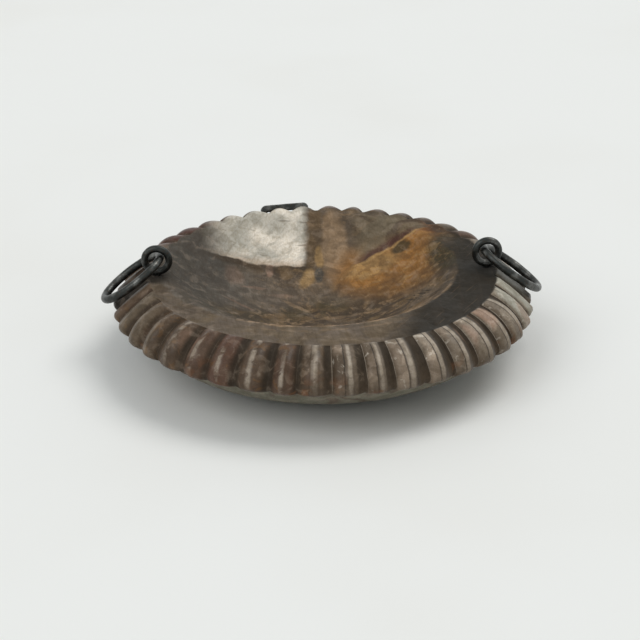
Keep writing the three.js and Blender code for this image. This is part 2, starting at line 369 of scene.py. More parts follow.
# %% [markdown]
# ## Carving by rule: a Geometry Nodes tree
#
# The carver walks round the rim with one gouge, so the rim is a rule with a shaky hand: flute after flute
# at nearly the same pitch and depth. Geometry Nodes suit that. The tree lays out a flat grid, reads each
# row's outlines from the section, blends ridge and flute by the shape of one lobe, wraps the grid round
# the axis, closes the seam, and then roughens the surface along its normals as tools and years do. It
# also stores what the paint needs to know: how deep in a flute a point is, and where on its lobe it lies.

# %% Sizes of the carving
FIRST_FLUTE = math.radians(-87.6)
HAND_RHYTHM = 2.4
COLUMNS_PER_LOBE = 20
SEAM = 0.00002
TREE_SIZES = {
    "Lobes": LOBE_COUNT,
    "Columns per Lobe": COLUMNS_PER_LOBE,
    "Rows": len(rows),
    "First Flute": FIRST_FLUTE,
    "Hand Wander": 0.07,
    "Hand Depth": 0.15,
    "Lobe Roundness": 1.0,
    "Warp": 0.0008,
    "Gouge Marks": 0.0005,
    "Nicks": 0.0006,
    "Seed": 5,
}
print(f"{LOBE_COUNT * COLUMNS_PER_LOBE} columns round the dish")


# %% Helpers: a tree with named inputs, and its use on an object
def new_tree(name, sizes):
    """A geometry tree with a Material input and one named input for each size."""
    tree = bpy.data.node_groups.new(name, "GeometryNodeTree")

    def add(label, kind, way="INPUT"):
        return tree.interface.new_socket(label, in_out=way, socket_type="NodeSocket" + kind)

    add("Geometry", "Geometry")
    for label, value in sizes.items():
        add(label, "Int" if isinstance(value, int) else "Float").default_value = value
    add("Material", "Material")
    add("Geometry", "Geometry", "OUTPUT")
    graph = Graph(tree)
    entry = graph.node("NodeGroupInput")
    inputs = {socket.name: Value(graph, socket) for socket in entry.outputs if socket.name}
    return graph, inputs


def pushed(graph, geometry, push):
    """The surface moved along its own normals."""
    normal = graph.result("GeometryNodeInputNormal")
    offset = graph.result("ShaderNodeVectorMath", {0: normal, "Scale": push}, operation="SCALE")
    return graph.result("GeometryNodeSetPosition", {"Geometry": geometry, "Offset": offset})


def end_tree(graph, geometry, material):
    """Every tree ends alike: smooth faces, real geometry, and its material."""
    smooth = graph.result("GeometryNodeSetShadeSmooth", {"Geometry": geometry})
    real = graph.result("GeometryNodeRealizeInstances", {"Geometry": smooth})
    painted = graph.result("GeometryNodeSetMaterial", {"Geometry": real, "Material": material})
    graph.node("NodeGroupOutput", {0: painted})


def turned_outwards(mesh):
    """Faces of a closed mesh point out when the volume they enclose is positive."""
    shape = bmesh.new()
    shape.from_mesh(mesh)
    volume = shape.calc_volume(signed=True)
    if volume < 0:
        bmesh.ops.reverse_faces(shape, faces=shape.faces)
        shape.to_mesh(mesh)
    open_edges = sum(1 for edge in shape.edges if not edge.is_manifold)
    shape.free()
    print(f"{mesh.name}: {len(mesh.polygons)} faces, {abs(volume) * 1e6:.1f} ml, {open_edges} open edges")


def bake(piece, graph, material):
    """Runs a piece's modifiers and then a tree, and keeps the result as a plain mesh."""
    modifier = piece.modifiers.new("rule", "NODES")
    modifier.node_group = graph.tree
    for socket in graph.tree.interface.items_tree:
        if socket.in_out == "INPUT" and socket.name == "Material":
            modifier[socket.identifier] = material
    bpy.context.view_layer.update()
    evaluated = piece.evaluated_get(bpy.context.evaluated_depsgraph_get())
    mesh = bpy.data.meshes.new_from_object(evaluated)
    piece.modifiers.clear()
    rough_mesh = piece.data
    piece.data = mesh
    bpy.data.meshes.remove(rough_mesh)
    mesh.name = piece.name
    turned_outwards(mesh)
    return piece


# %% The carving tree: grid, rows and columns
carve, size = new_tree("carve the dish", TREE_SIZES)
grid = carve.result("GeometryNodeMeshGrid", {
    "Size X": 1.0,
    "Size Y": 1.0,
    "Vertices X": size["Lobes"] * size["Columns per Lobe"] + 1,
    "Vertices Y": size["Rows"],
})
across, down, _ = carve.result("GeometryNodeInputPosition").split()
turn = across + 0.5
row = carve.math("ROUND", (0.5 - down) * (size["Rows"] - 1))


def carried_by_row(name, kind="FLOAT"):
    """What the section carries under a name, for the row of the grid that a point is in."""
    carried = carve.result("GeometryNodeInputNamedAttribute", {"Name": name}, data_type=kind)
    wanted = {"Geometry": size["Geometry"], "Value": carried, "Index": row}
    return carve.result("GeometryNodeSampleIndex", wanted, data_type=kind, domain="POINT")


edge_share = carried_by_row("edge_share")
band = carried_by_row("band")
print("grid and rows wired")

# %% The carving tree: where each flute sits and how deep it bites
lobe = carve.math("MINIMUM", carve.math("FLOOR", turn * size["Lobes"]), size["Lobes"] - 1)
through = turn * size["Lobes"] - lobe


def hand(number, phase):
    """The carver's hand: a wave that wanders from flute to flute and closes round the rim."""
    return carve.math("SINE", carve.math("MODULO", number, size["Lobes"]) * HAND_RHYTHM + phase)


def flute_angle(number):
    wander = size["Hand Wander"] * hand(number, 0)
    return size["First Flute"] + (number + wander) * (2 * math.pi) / size["Lobes"]


def flute_bite(number):
    return size["Hand Depth"] * hand(number, 1) + 1


angle = through.between(flute_angle(lobe), flute_angle(lobe + 1))
bite = through.between(flute_bite(lobe), flute_bite(lobe + 1))
print("flutes wired")

# %% [markdown]
# ## The shape of one lobe
#
# Round the left of the dish the lobes are plain rolls. From the front to the right ring each one has been
# gone over again: its left flank is a flat facet, with a fine crease between the flat and the roll. Both
# shapes are written as a cut, 0 on the crown and 1 at the bottom of the flute, and blended by azimuth.

# %% The carving tree: two lobe shapes and their blend
FACET_CREASE = 0.36
SECOND_BITE = 1.2
FACET_FROM = -1.75
FACET_TO = 0.35
FACET_FADE = 0.3
FLAT_HIGH = 0.1
FLAT_SLOPE = 0.35
FLAT_WALL = 5.0
FLUTE_WALL = 0.9
FLUTE_WALL_POWER = 24
ROLL_TOP = 0.48
ROLL_FLANK = 0.52
ROLL_FLANK_POWER = 1.4
ROLL_NEAR = 0.13
CREASE_DEPTH = 0.3
CREASE_SOFTNESS = 0.05


def over_zero(value):
    return carve.math("MAXIMUM", value, 0)


arch = carve.math("SINE", through * math.pi)
plain_cut = 1 - carve.math("POWER", over_zero(arch), size["Lobe Roundness"])
flat_side = FLAT_HIGH + FLAT_SLOPE * over_zero(FACET_CREASE - through)
flat_wall = FLAT_WALL * over_zero(through - FACET_CREASE)
flute_wall = FLUTE_WALL * carve.math("POWER", 1 - through, FLUTE_WALL_POWER)
facet = flat_side + flat_wall + flute_wall
roll_far = over_zero(through - ROLL_TOP) / ROLL_FLANK
roll_near = over_zero(ROLL_TOP - through) / ROLL_NEAR
roll = carve.math("POWER", roll_far, ROLL_FLANK_POWER) + CREASE_DEPTH * roll_near * roll_near
carved_cut = carve.math("SMOOTH_MIN", facet, roll, CREASE_SOFTNESS) * SECOND_BITE
front_angle = carve.math("WRAP", angle, math.pi, -math.pi)
second_pass = front_angle.step(FACET_FROM, FACET_FROM + FACET_FADE)
second_pass = second_pass * front_angle.step(FACET_TO + FACET_FADE, FACET_TO)
cut = bite * carve.math("MINIMUM", second_pass.between(plain_cut, carved_cut), SECOND_BITE)
print("lobe shapes wired")

# %% The carving tree: what the paint needs to know
lobe_tone = carve.result("ShaderNodeTexWhiteNoise", {"W": lobe + size["Seed"]}, noise_dimensions="1D")
known = grid
for name, value in (
    ("flute_depth", cut * band),
    ("lobe_tone", lobe_tone),
    ("lobe_across", through),
    ("band", band),
    ("second_pass", second_pass),
    ("inside", carried_by_row("inside")),
):
    wanted = {"Geometry": known, "Name": name, "Value": value}
    known = carve.result("GeometryNodeStoreNamedAttribute", wanted, data_type="FLOAT", domain="POINT")
print("attributes wired")

# %% The carving tree: from rows and cuts to places in space
degrees_round = front_angle * (180 / math.pi)


def near_handle(azimuth):
    """1 beside a handle, where the shoulder is pared to a slope, and 0 away from it."""
    away = carve.math("WRAP", degrees_round - azimuth, 180, -180) / PARED_SPREAD
    squared = away * away
    return carve.math("EXPONENT", -(squared * squared))


paring = carve.math("MAXIMUM", near_handle(HANDLE_AZIMUTHS[0]), near_handle(HANDLE_AZIMUTHS[1]))


def blended(name, pared_name):
    rounded = carried_by_row(name, "FLOAT_VECTOR")
    pared = carried_by_row(pared_name, "FLOAT_VECTOR")
    return carve.result("ShaderNodeMix", {0: paring, 4: rounded, 5: pared}, 1, data_type="VECTOR").split()


ridge_x, _, ridge_z = blended("ridge", "pared")
flute_x, _, flute_z = blended("flute", "pared_flute")
cosine = carve.math("COSINE", angle)
sine = carve.math("SINE", angle)
along = cosine * WELL_SHIFT.x + sine * WELL_SHIFT.y
edge = along + carve.math("SQRT", along * along + (WELL_RADIUS ** 2 - WELL_SHIFT.length_squared))
radius = edge_share * edge + cut.between(ridge_x, flute_x)
place = carve.combine(radius * cosine, radius * sine, cut.between(ridge_z, flute_z))
laid = carve.result("GeometryNodeSetPosition", {"Geometry": known, "Position": place})
closed = carve.result("GeometryNodeMergeByDistance", {"Geometry": laid, "Distance": SEAM})
print("places wired")

# %% [markdown]
# ## Tool marks and years
#
# Three sizes of unevenness, all along the surface's own normal: a slow warp from drying wood, shallow
# gouge marks in the band and hollow, and small nicks on the crowns. They only cut inwards on average, so
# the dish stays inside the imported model's box. The foot is left flat, because the dish stands on it.

# %% The carving tree: worn surface and end
WARP_SIZE = 0.07
WARP_INWARDS = 0.75
GOUGE_SIZE = 0.011
GOUGE_INWARDS = 0.6
GOUGE_STRETCH = (1, 1, 0.45)
NICK_SIZE = 0.0055
NICK_LEVELS = (0.62, 0.78)
MARKS_IN_HOLLOW = 0.45
MARKS_ON_LOBES = 1.55
NICKS_IN_HOLLOW = 0.2
NICKS_ON_LOBES = 1
FOOT_TOP = (0.004, 0.012)
spot = carve.result("GeometryNodeInputPosition")
spot_height = spot.split()[2]
spot = spot.moved((0.31, 0.17, 0.05))
gouge_spot = carve.result("ShaderNodeVectorMath", {0: spot, 1: GOUGE_STRETCH}, operation="MULTIPLY")
warp = size["Warp"] * (spot.noise(WARP_SIZE, 2) - WARP_INWARDS)
marks = size["Gouge Marks"] * (gouge_spot.noise(GOUGE_SIZE, 2) - GOUGE_INWARDS)
nicks = size["Nicks"] * -spot.noise(NICK_SIZE, 3).step(*NICK_LEVELS)
marks = marks * band.between(MARKS_IN_HOLLOW, MARKS_ON_LOBES)
nicks = nicks * band.between(NICKS_IN_HOLLOW, NICKS_ON_LOBES)
push = (warp + marks + nicks) * spot_height.step(*FOOT_TOP)
end_tree(carve, pushed(carve, closed, push), size["Material"])
print("carving tree done:", len(carve.tree.nodes), "nodes")

# %% Carve the dish
wood = bpy.data.materials.new("carved_wood")
iron = bpy.data.materials.new("forged_iron")
bake(dish, carve, wood)
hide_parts("dish_body")
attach(dish, "dish")

# %% [markdown]
# ## Forged bar: rings and eyes
#
# A smith makes both from round bar: heated, bent round a horn and welded shut, so the bar swells a little
# at the weld and keeps small flats from the hammer. A bar that follows a path is what Curve to Mesh does:
# the tree sweeps a circle along chains of points that carry the bar's thickness, then dents the surface.
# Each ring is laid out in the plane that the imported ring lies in: its hinge gives one axis, and the way
# from the hinge to the ring's middle gives the other. An eye's path is a loop and a spike.

# %% Sizes of the ironwork, in metres
RING_BAR = 0.0079
RING_LENGTH = 0.0668
RING_WIDTH = 0.054
WELD_SWELL = 0.06
WELD_ANGLE = math.radians(242)
WELD_SPREAD = 0.3
EYE_BAR = 0.007
EYE_HOLE = 0.016
EYE_SWELL = 0.05
EYE_SWELL_SPREAD = 0.5
SPIKE_WIDTH = 0.006
SPIKE_TIP = 0.0024
SPIKE_LENGTH = 0.046
SPIKE_SHARES = (0, 0.3, 0.65, 1)
PATH_POINTS = 132
BAR_SIDES = 26
BAR_SIZES = {
    "Sides": BAR_SIDES,
    "Hammer Marks": 0.00034,
    "Scale Pits": 0.00012,
}
FLAT_SIZE = 0.009
FLATS_INWARDS = 0.72
PIT_SIZE = 0.0016
PIT_LEVELS = (0.55, 0.75)
print(f"{PATH_POINTS} points along each bar and {BAR_SIDES} round it")


# %% The bar tree: a circle swept along a path, then dented
def hammered(graph, geometry, marks, pits):
    """Shallow flats from the hammer and small pits from the fire, both cut inwards."""
    spot = graph.result("GeometryNodeInputPosition")
    flats = spot.noise(FLAT_SIZE, 1, 0.4) - FLATS_INWARDS
    holes = -spot.noise(PIT_SIZE, 2).step(*PIT_LEVELS)
    return pushed(graph, geometry, marks * flats + pits * holes)


forge, bar = new_tree("forge a bar", BAR_SIZES)
path = forge.result("GeometryNodeMeshToCurve", {"Mesh": bar["Geometry"]})
path = forge.result("GeometryNodeSetCurveNormal", {"Curve": path}, mode="MINIMUM_TWIST")
ring_size = {"Resolution": bar["Sides"], "Radius": 1.0}
round_bar = forge.result("GeometryNodeCurvePrimitiveCircle", ring_size, mode="RADIUS")
thickness = forge.result("GeometryNodeInputNamedAttribute", {"Name": "thickness"}, data_type="FLOAT")
swept = forge.result("GeometryNodeCurveToMesh", {
    "Curve": path, "Profile Curve": round_bar, "Scale": thickness, "Fill Caps": True})
end_tree(forge, hammered(forge, swept, bar["Hammer Marks"], bar["Scale Pits"]), bar["Material"])
print("bar tree done:", len(forge.tree.nodes), "nodes")


# %% Helpers: a path that carries its thickness, and the plane of a ring
def bar_path(name, place, thickness, spike=()):
    """A loop by two rules of the angle round it, and a spike as rows of (place, thickness)."""
    angles = [2 * math.pi * i / PATH_POINTS for i in range(PATH_POINTS)]
    points = [(place(angle), thickness(angle)) for angle in angles] + list(spike)
    edges = [(i, (i + 1) % PATH_POINTS) for i in range(PATH_POINTS)]
    edges += [(i, i + 1) for i in range(PATH_POINTS, len(points) - 1)]
    mesh = bpy.data.meshes.new(name)
    mesh.from_pydata([point for point, _ in points], edges, [])
    thicknesses = [number for _, number in points]
    mesh.attributes.new("thickness", "FLOAT", "POINT").data.foreach_set("value", thicknesses)
    return placed(name, mesh)


def middle(node):
    """The middle of a node's points."""
    places = [vertex.co for vertex in node.data.vertices]
    return Vector([sum(axis) / len(places) for axis in zip(*places)])


def plane_of_ring(body):
    """The ring's own axes: from its hinge to its middle, along the hinge, and square to both."""
    hinge = hinges[body]
    pivot = Vector(hinge["pos_m"])
    outwards = (middle(nodes[body]) - pivot).normalized()
    sideways = -Vector(hinge["axis"]).normalized()
    matrix = Matrix((outwards, sideways, outwards.cross(sideways))).transposed().to_4x4()
    matrix.translation = pivot
    return matrix


# %% The two rings
def forged_ring(body):
    plane = plane_of_ring(body)

    def place(angle):
        out = RING_LENGTH / 2 * (1 - math.cos(angle))
        return plane @ Vector((out, -RING_WIDTH / 2 * math.sin(angle), 0))

    def thickness(angle):
        away = (angle - WELD_ANGLE) / WELD_SPREAD
        return RING_BAR / 2 * (1 + WELD_SWELL * math.exp(-away * away))

    ring = bake(bar_path(f"forged_{body}", place, thickness), forge, iron)
    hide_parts(body)
    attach(ring, body)


for body in sorted(hinges):
    forged_ring(body)


# %% The two eyes
def forged_eye(side):
    """A loop in the plane square to its ring's hinge, on a spike that runs down into the lip."""
    node = nodes[f"{side}_eye"]
    low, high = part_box(f"{side}_eye")
    loop_radius = (EYE_HOLE + EYE_BAR) / 2
    centre = Vector(((low[0] + high[0]) / 2, (low[1] + high[1]) / 2, high[2] - loop_radius - EYE_BAR / 2))
    hinge = Vector(hinges[f"{side}_ring"]["axis"])
    outwards = hinge.cross(Vector((0, 0, -1))).normalized()

    def place(angle):
        across = math.sin(angle) * loop_radius
        return centre + across * outwards + Vector((0, 0, -math.cos(angle) * loop_radius))

    def thickness(angle):
        near_foot = math.exp(-(math.remainder(angle, 2 * math.pi) / EYE_SWELL_SPREAD) ** 2)
        return EYE_BAR / 2 * (1 + EYE_SWELL * near_foot)

    spike = []
    for t in SPIKE_SHARES:
        down = Vector((0, 0, -loop_radius - SPIKE_LENGTH * t))
        spike.append((centre + down, SPIKE_WIDTH / 2 * (1 - t) + SPIKE_TIP / 2 * t))
    eye = bake(bar_path(f"forged_{side}_eye", place, thickness, spike), forge, iron)
    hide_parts(node.name)
    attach(eye, "dish")
    return centre


eye_centres = {side: forged_eye(side) for side in ("left", "right")}
print("eyes at", eye_centres)

# %% [markdown]
# ## The cramp
#
# The cramp is a flat bar with its ends turned down, driven across the lobes like a big staple. Its packed
# solid has the true outline but crisp facets. A copy of that solid is rebuilt as small even faces,
# softened, and dented with the same hammer as the rings.

# %% The cramp
CRAMP_FACE = 0.0007
EDGE_SOFTENING = 0.5
SOFTENING_ROUNDS = 4
CRAMP_SIZES = {"Hammer Marks": 0.0005, "Scale Pits": 0.00015}
wrought, cramp_size = new_tree("dent a solid", CRAMP_SIZES)
dented = hammered(wrought, cramp_size["Geometry"], cramp_size["Hammer Marks"], cramp_size["Scale Pits"])
end_tree(wrought, dented, cramp_size["Material"])
cramp_mesh = nodes["rim_cramp"].data.copy()
solid = bmesh.new()
solid.from_mesh(cramp_mesh)
bmesh.ops.remove_doubles(solid, verts=solid.verts, dist=SEAM)
solid.to_mesh(cramp_mesh)
solid.free()
cramp = placed("forged_cramp", cramp_mesh)
even = cramp.modifiers.new("even faces", "REMESH")
even.mode = "VOXEL"
even.voxel_size = CRAMP_FACE
soft = cramp.modifiers.new("worn edges", "SMOOTH")
soft.factor = EDGE_SOFTENING
soft.iterations = SOFTENING_ROUNDS
bake(cramp, wrought, iron)
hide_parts("rim_cramp")
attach(cramp, "dish")

# %% [markdown]
# ## Painting by formula
#
# The wood's colours lie in patches: the back of the hollow pale, partly pale wood and partly a painted
# reflection of overhead light, a painted shadow at the back on the right, an ochre heart on the right, a
# very dark lip beside the right ring, slate grey on the left, and all of it crossed by fine grain. Each
# patch is a soft-edged shape seen from above, in millimetres, with its edge shaken by noise, and the
# patches are laid over one another like thin stain. Everything is read from Object coordinates and from
# what the carving tree stored, so the finish stays on the dish from every side.

# %% Helpers: shader trees, places and relief
MM = 0.001


def paint_tree(material):
    """An empty shader tree that ends in a Principled BSDF."""
    material.use_nodes = True
    material.node_tree.nodes.clear()
    graph = Graph(material.node_tree)
    shader = graph.node("ShaderNodeBsdfPrincipled")
    graph.node("ShaderNodeOutputMaterial", {"Surface": Value(graph, shader.outputs[0])})
    return graph, shader


def object_place(graph):
    """The point that is painted, in the object's own frame."""
    return graph.result("ShaderNodeTexCoord", output="Object")


def stored(graph, name):
    """A number that the carving tree stored on the points."""
    return graph.result("ShaderNodeAttribute", output="Fac", attribute_name=name)


def distance(one, other):
    """The length of two numbers taken square to each other."""
    return one.graph.math("SQRT", one * one + other * other)


def turned(x, y, degrees):
    """The same two numbers along and across a direction."""
    cosine, sine = heading(degrees)
    return x * cosine + y * sine, y * cosine - x * sine


def mottled(tone, rows):
    """Lays clouds over a tone. Each row: noise, where it starts, where it is full, strength, colour."""
    for noise, start, full, strength, stain in rows:
        tone = tone.coat(noise.step(start, full) * strength, stain)
    return tone


def relieved(graph, shader, height_mm):
    """Relief that is too fine for the mesh, with its height in millimetres."""
    bump = graph.result("ShaderNodeBump", {"Strength": 1, "Distance": MM, "Height": height_mm})
    graph.feed(shader, {"Normal": bump})


print("paint helpers ready")

# %% Colours of the wood, as light values
HEARTWOOD = (0.145, 0.096, 0.052)
HEARTWOOD_DARK = (0.056, 0.037, 0.022)
TAN = (0.30, 0.205, 0.125)
SLATE = (0.066, 0.063, 0.057)
SLATE_PALE = (0.14, 0.12, 0.10)
TAUPE = (0.135, 0.104, 0.078)
# Colours of the pale quarter: pale wood, light enough to carry a painted reflection of overhead light too
CREAM = (0.9, 0.825, 0.72)
CREAM_GREY = (0.46, 0.44, 0.385)
CREAM_PINK = (0.56, 0.44, 0.34)
OCHRE = (0.335, 0.155, 0.04)
OCHRE_DEEP = (0.18, 0.09, 0.03)
STRAW = (0.46, 0.29, 0.12)
RUST = (0.17, 0.068, 0.026)
WINE = (0.07, 0.022, 0.019)
MOSS = (0.042, 0.036, 0.019)
# Near black: the dark right lip, specks and knife marks
BROWN_BLACK = (0.02, 0.016, 0.011)
LIP_GREY = (0.142, 0.108, 0.074)
LOBE_BROWN = (0.08, 0.054, 0.033)
LOBE_RED = (0.1, 0.05, 0.032)
LOBE_PALE = (0.44, 0.37, 0.29)
LOBE_PINK = (0.40, 0.25, 0.18)
LICHEN_GREY = (0.48, 0.475, 0.41)
# ROLL_LIGHT: the colour of painted highlights on crowns and rolls, and of the paler rolls on the right
ROLL_LIGHT = (0.40, 0.34, 0.275)
LINE_TAN = (0.38, 0.26, 0.16)
SHADE_BROWN = (0.088, 0.066, 0.046)
SHADE_OLIVE = (0.165, 0.132, 0.088)
# Painted shade in the flutes and creases, with some dirt
FLUTE_SHADE_AND_DIRT = (0.03, 0.022, 0.014)
# Painted shade on the far flank of the lobes
FLANK_SHADE = (0.048, 0.035, 0.023)
BELLY_GREY = (0.205, 0.192, 0.15)
# The darker wood under the rings
UNDER_RING_DARK = (0.026, 0.024, 0.021)
BLOTCH_SHADE = (0.8, 0.785, 0.76)
GRAIN_SHADE = (0.88, 0.86, 0.82)
print("wood colours set")

# %% The wood: grain, rings and three sizes of cloud
GRAIN_STRETCH = 0.055
GRAIN_SLANT = 0.12
GRAIN_BEND = 0.02
PITH = (0.035, -0.19)
RING_GAP = 0.0062
RING_WAVE = 0.006
paint, wood_shader = paint_tree(wood)
at = object_place(paint)
x, y, z = at.split()
bent = x + (at.noise(0.11, 2) - 0.5) * GRAIN_BEND
grain_at = paint.combine(bent + y * GRAIN_SLANT, y * GRAIN_STRETCH, z)
fine_grain = grain_at.noise(0.0016, 3, 0.6)
broad_grain = grain_at.noise(0.009, 3, 0.6)
ring_distance = distance(bent - PITH[0], z - PITH[1]) + (broad_grain - 0.5) * RING_WAVE
late_wood = paint.math("POWER", paint.math("FRACT", ring_distance * (1 / RING_GAP)), 3)
marbling = at.noise(0.024, 4, 0.56, 0.9)
clouds = at.moved((0.7, 0.2, 0.9)).noise(0.045, 4, 0.58, 0.6)
smudges = at.moved((0.1, 0.8, 0.3)).noise(0.011, 4, 0.6, 0.8)
print("grain wired")

# %% Helpers: patches and edges in the plan of the dish
# The plan is the place seen from above, pushed about by noise, for edges that no ruler drew.
EDGE_WAVES = ((34, 5), (8, 2.2))
plan_x = x
plan_y = y
for i, (lump_mm, reach_mm) in enumerate(EDGE_WAVES):
    plan_x = plan_x + (at.noise(lump_mm * MM) - 0.5) * (2 * reach_mm * MM)
    plan_y = plan_y + (at.moved((0.4 + i, 0.9, 0.2)).noise(lump_mm * MM) - 0.5) * (2 * reach_mm * MM)


def patch(middle_mm, half_mm, turn_degrees, soft):
    """A rounded patch seen from above: 1 inside, 0 outside."""
    along, across = turned(plan_x - middle_mm[0] * MM, plan_y - middle_mm[1] * MM, turn_degrees)
    away = distance(along * (1 / (half_mm[0] * MM)), across * (1 / (half_mm[1] * MM)))
    return away.step(1 + soft / 2, 1 - soft / 2)


def patched(tone, rows, within=1):
    """Lays patches over a tone, one for each row."""
    for middle_mm, half_mm, turn_degrees, soft, stain, strength in rows:
        tone = tone.coat(patch(middle_mm, half_mm, turn_degrees, soft) * (within * strength), stain)
    return tone


def beyond(through_mm, facing, soft_mm):
    """A straight edge through a point: 0 before it and 1 past it, on the side that it faces."""
    cosine, sine = heading(facing)
    past = (plan_x - through_mm[0] * MM) * cosine + (plan_y - through_mm[1] * MM) * sine
    return past.step(-soft_mm * MM / 2, soft_mm * MM / 2)


def before(through_mm, facing, soft_mm):
    """The other side of such an edge."""
    return 1 - beyond(through_mm, facing, soft_mm)


print("plan of the dish ready")

# %% The wood: one brown, then patches seen from above
tone = mottled(marbling.step(0.4, 0.58).tint(HEARTWOOD_DARK, HEARTWOOD), (
    (clouds, 0.48, 0.6, 0.65, TAUPE),
    (clouds, 0.46, 0.38, 0.5, MOSS),
    (smudges, 0.55, 0.66, 0.45, TAN),
))
# Each row: middle and half sizes in millimetres, turn in degrees, softness, colour, strength.
WOOD_STAINS_AND_SHADE = (
    ((-118, 42), (46, 74), 0, 0.7, SLATE, 0.85),
    ((-100, -62), (52, 30), -35, 0.9, SLATE, 0.6),
    ((-66, 52), (30, 22), 0, 0.9, SLATE_PALE, 0.5),
    ((-88, 60), (9, 14), 10, 0.8, LOBE_PINK, 0.25),
    ((11, 118), (13, 42), 0, 0.45, TAN, 0.9),
    ((-9, 132), (8, 48), 0, 0.6, HEARTWOOD, 0.8),
    ((-9, 132), (9, 48), 0, 0.8, HEARTWOOD_DARK, 0.3),
    ((-3, 104), (4.5, 15), 0, 0.6, STRAW, 0.55),
    ((-53, 84), (4, 11), 0, 0.5, LOBE_PINK, 0.75),
    # Painted shade near the back crest, inside the painted shadow at the back
    ((72, 140), (12, 7), 0, 0.8, SHADE_OLIVE, 0.6),
    ((-15, 74), (7, 15), -12, 0.6, STRAW, 0.6),
    ((-4, 80), (4.5, 11), 0, 0.5, SLATE, 0.85),
    ((-39, 42), (11, 3.5), 10, 0.7, LOBE_PINK, 0.55),
    ((-27, 14), (15, 13), 0, 0.5, MOSS, 0.55),
    ((4, 34), (20, 14), 0, 0.6, MOSS, 0.5),
    ((-60, -30), (44, 18), -12, 0.9, MOSS, 0.35),
    ((-72, 22), (40, 24), 20, 0.9, SLATE_PALE, 0.5),
    ((-28, 44), (30, 13), 0, 0.9, TAUPE, 0.55),
    ((22, 44), (24, 16), 0, 0.8, TAUPE, 0.5),
    ((-26, 24), (16, 3), -38, 0.6, TAN, 0.6),
    ((-80, 8), (15, 2.5), -24, 0.6, LOBE_PINK, 0.3),
    ((-68, 48), (12, 2.5), 16, 0.6, LOBE_PINK, 0.3),
    ((12, 2), (24, 3), 12, 0.7, TAN, 0.45),
    ((40, -52), (80, 18), 8, 0.9, TAN, 0.45),
    ((74, 76), (60, 42), -6, 0.6, OCHRE, 0.95),
    ((50, 84), (26, 14), 15, 0.7, STRAW, 0.6),
    ((84, 44), (42, 26), 0, 0.9, OCHRE_DEEP, 0.6),
    ((77, 98), (9, 7.5), -20, 0.5, MOSS, 0.85),
    ((108, 118), (32, 12), -28, 0.6, RUST, 0.9),
    ((119, 112), (14, 9), -28, 0.8, HEARTWOOD_DARK, 0.7),
    ((126, 58), (22, 42), 12, 0.6, MOSS, 0.95),
)
tone = patched(tone, WOOD_STAINS_AND_SHADE)
ochre_zone = patch((78, 72), (58, 38), -6, 0.7) * (1 - patch((77, 98), (13, 11), -20, 0.4))
dust = x.step(-0.1, -0.02).tint(SLATE_PALE, TAN)
tone = mottled(tone, (
    (smudges, 0.5, 0.6, ochre_zone * 0.3, STRAW),
    (smudges, 0.46, 0.36, ochre_zone * 0.5, OCHRE_DEEP),
    (marbling, 0.56, 0.42, 0.35, HEARTWOOD_DARK),
    (smudges, 0.58, 0.68, 0.3, dust),
))
print(f"{len(WOOD_STAINS_AND_SHADE)} patches wired")

# %% The wood: the shadowed quarter at the back, and its two edges
above = beyond((60, 101), 110, 2.5)
rim_side = beyond((34, 120), 0, 22) * above
quarter = clouds.step(0.42, 0.56).tint(SHADE_BROWN, SHADE_OLIVE)
edge_shade = rim_side * before((63, 109), 110, 7)
edge_light = (1 - above) * beyond((59, 98), 110, 2.5) * beyond((30, 90), 20, 10)
tone = tone.coat(rim_side * before((104, 120), 20, 16) * 0.85, quarter)
tone = tone.coat(edge_shade * before((92, 110), 20, 20) * 0.75, WINE)
tone = tone.coat(edge_light * before((100, 110), 20, 20) * 0.6, STRAW)
print("shadowed quarter wired")

# %% The wood: the pale quarter, pale wood with a painted reflection of overhead light, and the dark line under its edge
pale_and_reflected = beyond((-60, 88), 96, 3) * beyond((-19, 110), 180, 9) * beyond((-106, 120), 5, 40)
pale = clouds.step(0.42, 0.66).tint(CREAM, CREAM_GREY)
pale = pale.coat(before((-50, 96), 96, 14) * 0.8, CREAM_PINK)
pale = patched(pale, (
    ((-62, 146), (34, 15), -14, 0.9, CREAM_GREY, 0.8),
    ((-100, 118), (24, 30), 0, 0.9, CREAM_GREY, 0.7),
))
brushed = paint.combine((x + y * 0.8) * 0.3, y - x * 0.8, z * 0.3).noise(0.006, 4, 0.6)
pale = pale.coat(brushed.step(0.5, 0.62) * 0.45, CREAM_GREY)
# Pale wood at the back of the hollow, with a painted reflection of overhead light over it
tone = tone.coat(pale_and_reflected * 0.97, pale)
under_edge = before((-60, 87), 96, 2) * beyond((-60, 80), 96, 5)
under_edge = under_edge * before((-40, 85), 0, 20) * beyond((-112, 90), 0, 20)
tone = tone.coat(under_edge * 0.7, HEARTWOOD_DARK)
print("bleached quarter wired")

# %% The wood: lip, worn lines with a painted highlight, and the dark right lip
LINE_MIDDLE_MM = (-14, 22)
LINE_RADIUS_MM = 142
SECOND_LINE_MM = 12
line_x = plan_x - LINE_MIDDLE_MM[0] * MM
line_y = plan_y - LINE_MIDDLE_MM[1] * MM
line_away = distance(line_x, line_y) - LINE_RADIUS_MM * MM
on_lip = line_away.step(-0.001, 0.003)
front = y.step(0.03, -0.05)
lip_tone = marbling.step(0.4, 0.6).tint(TAUPE, LIP_GREY)
lip_tone = lip_tone.coat(clouds.step(0.52, 0.62) * 0.5, HEARTWOOD_DARK)
tone = tone.coat(on_lip * front * 0.85, lip_tone)
lined_front = front * at.noise(0.012).step(0.4, 0.55)
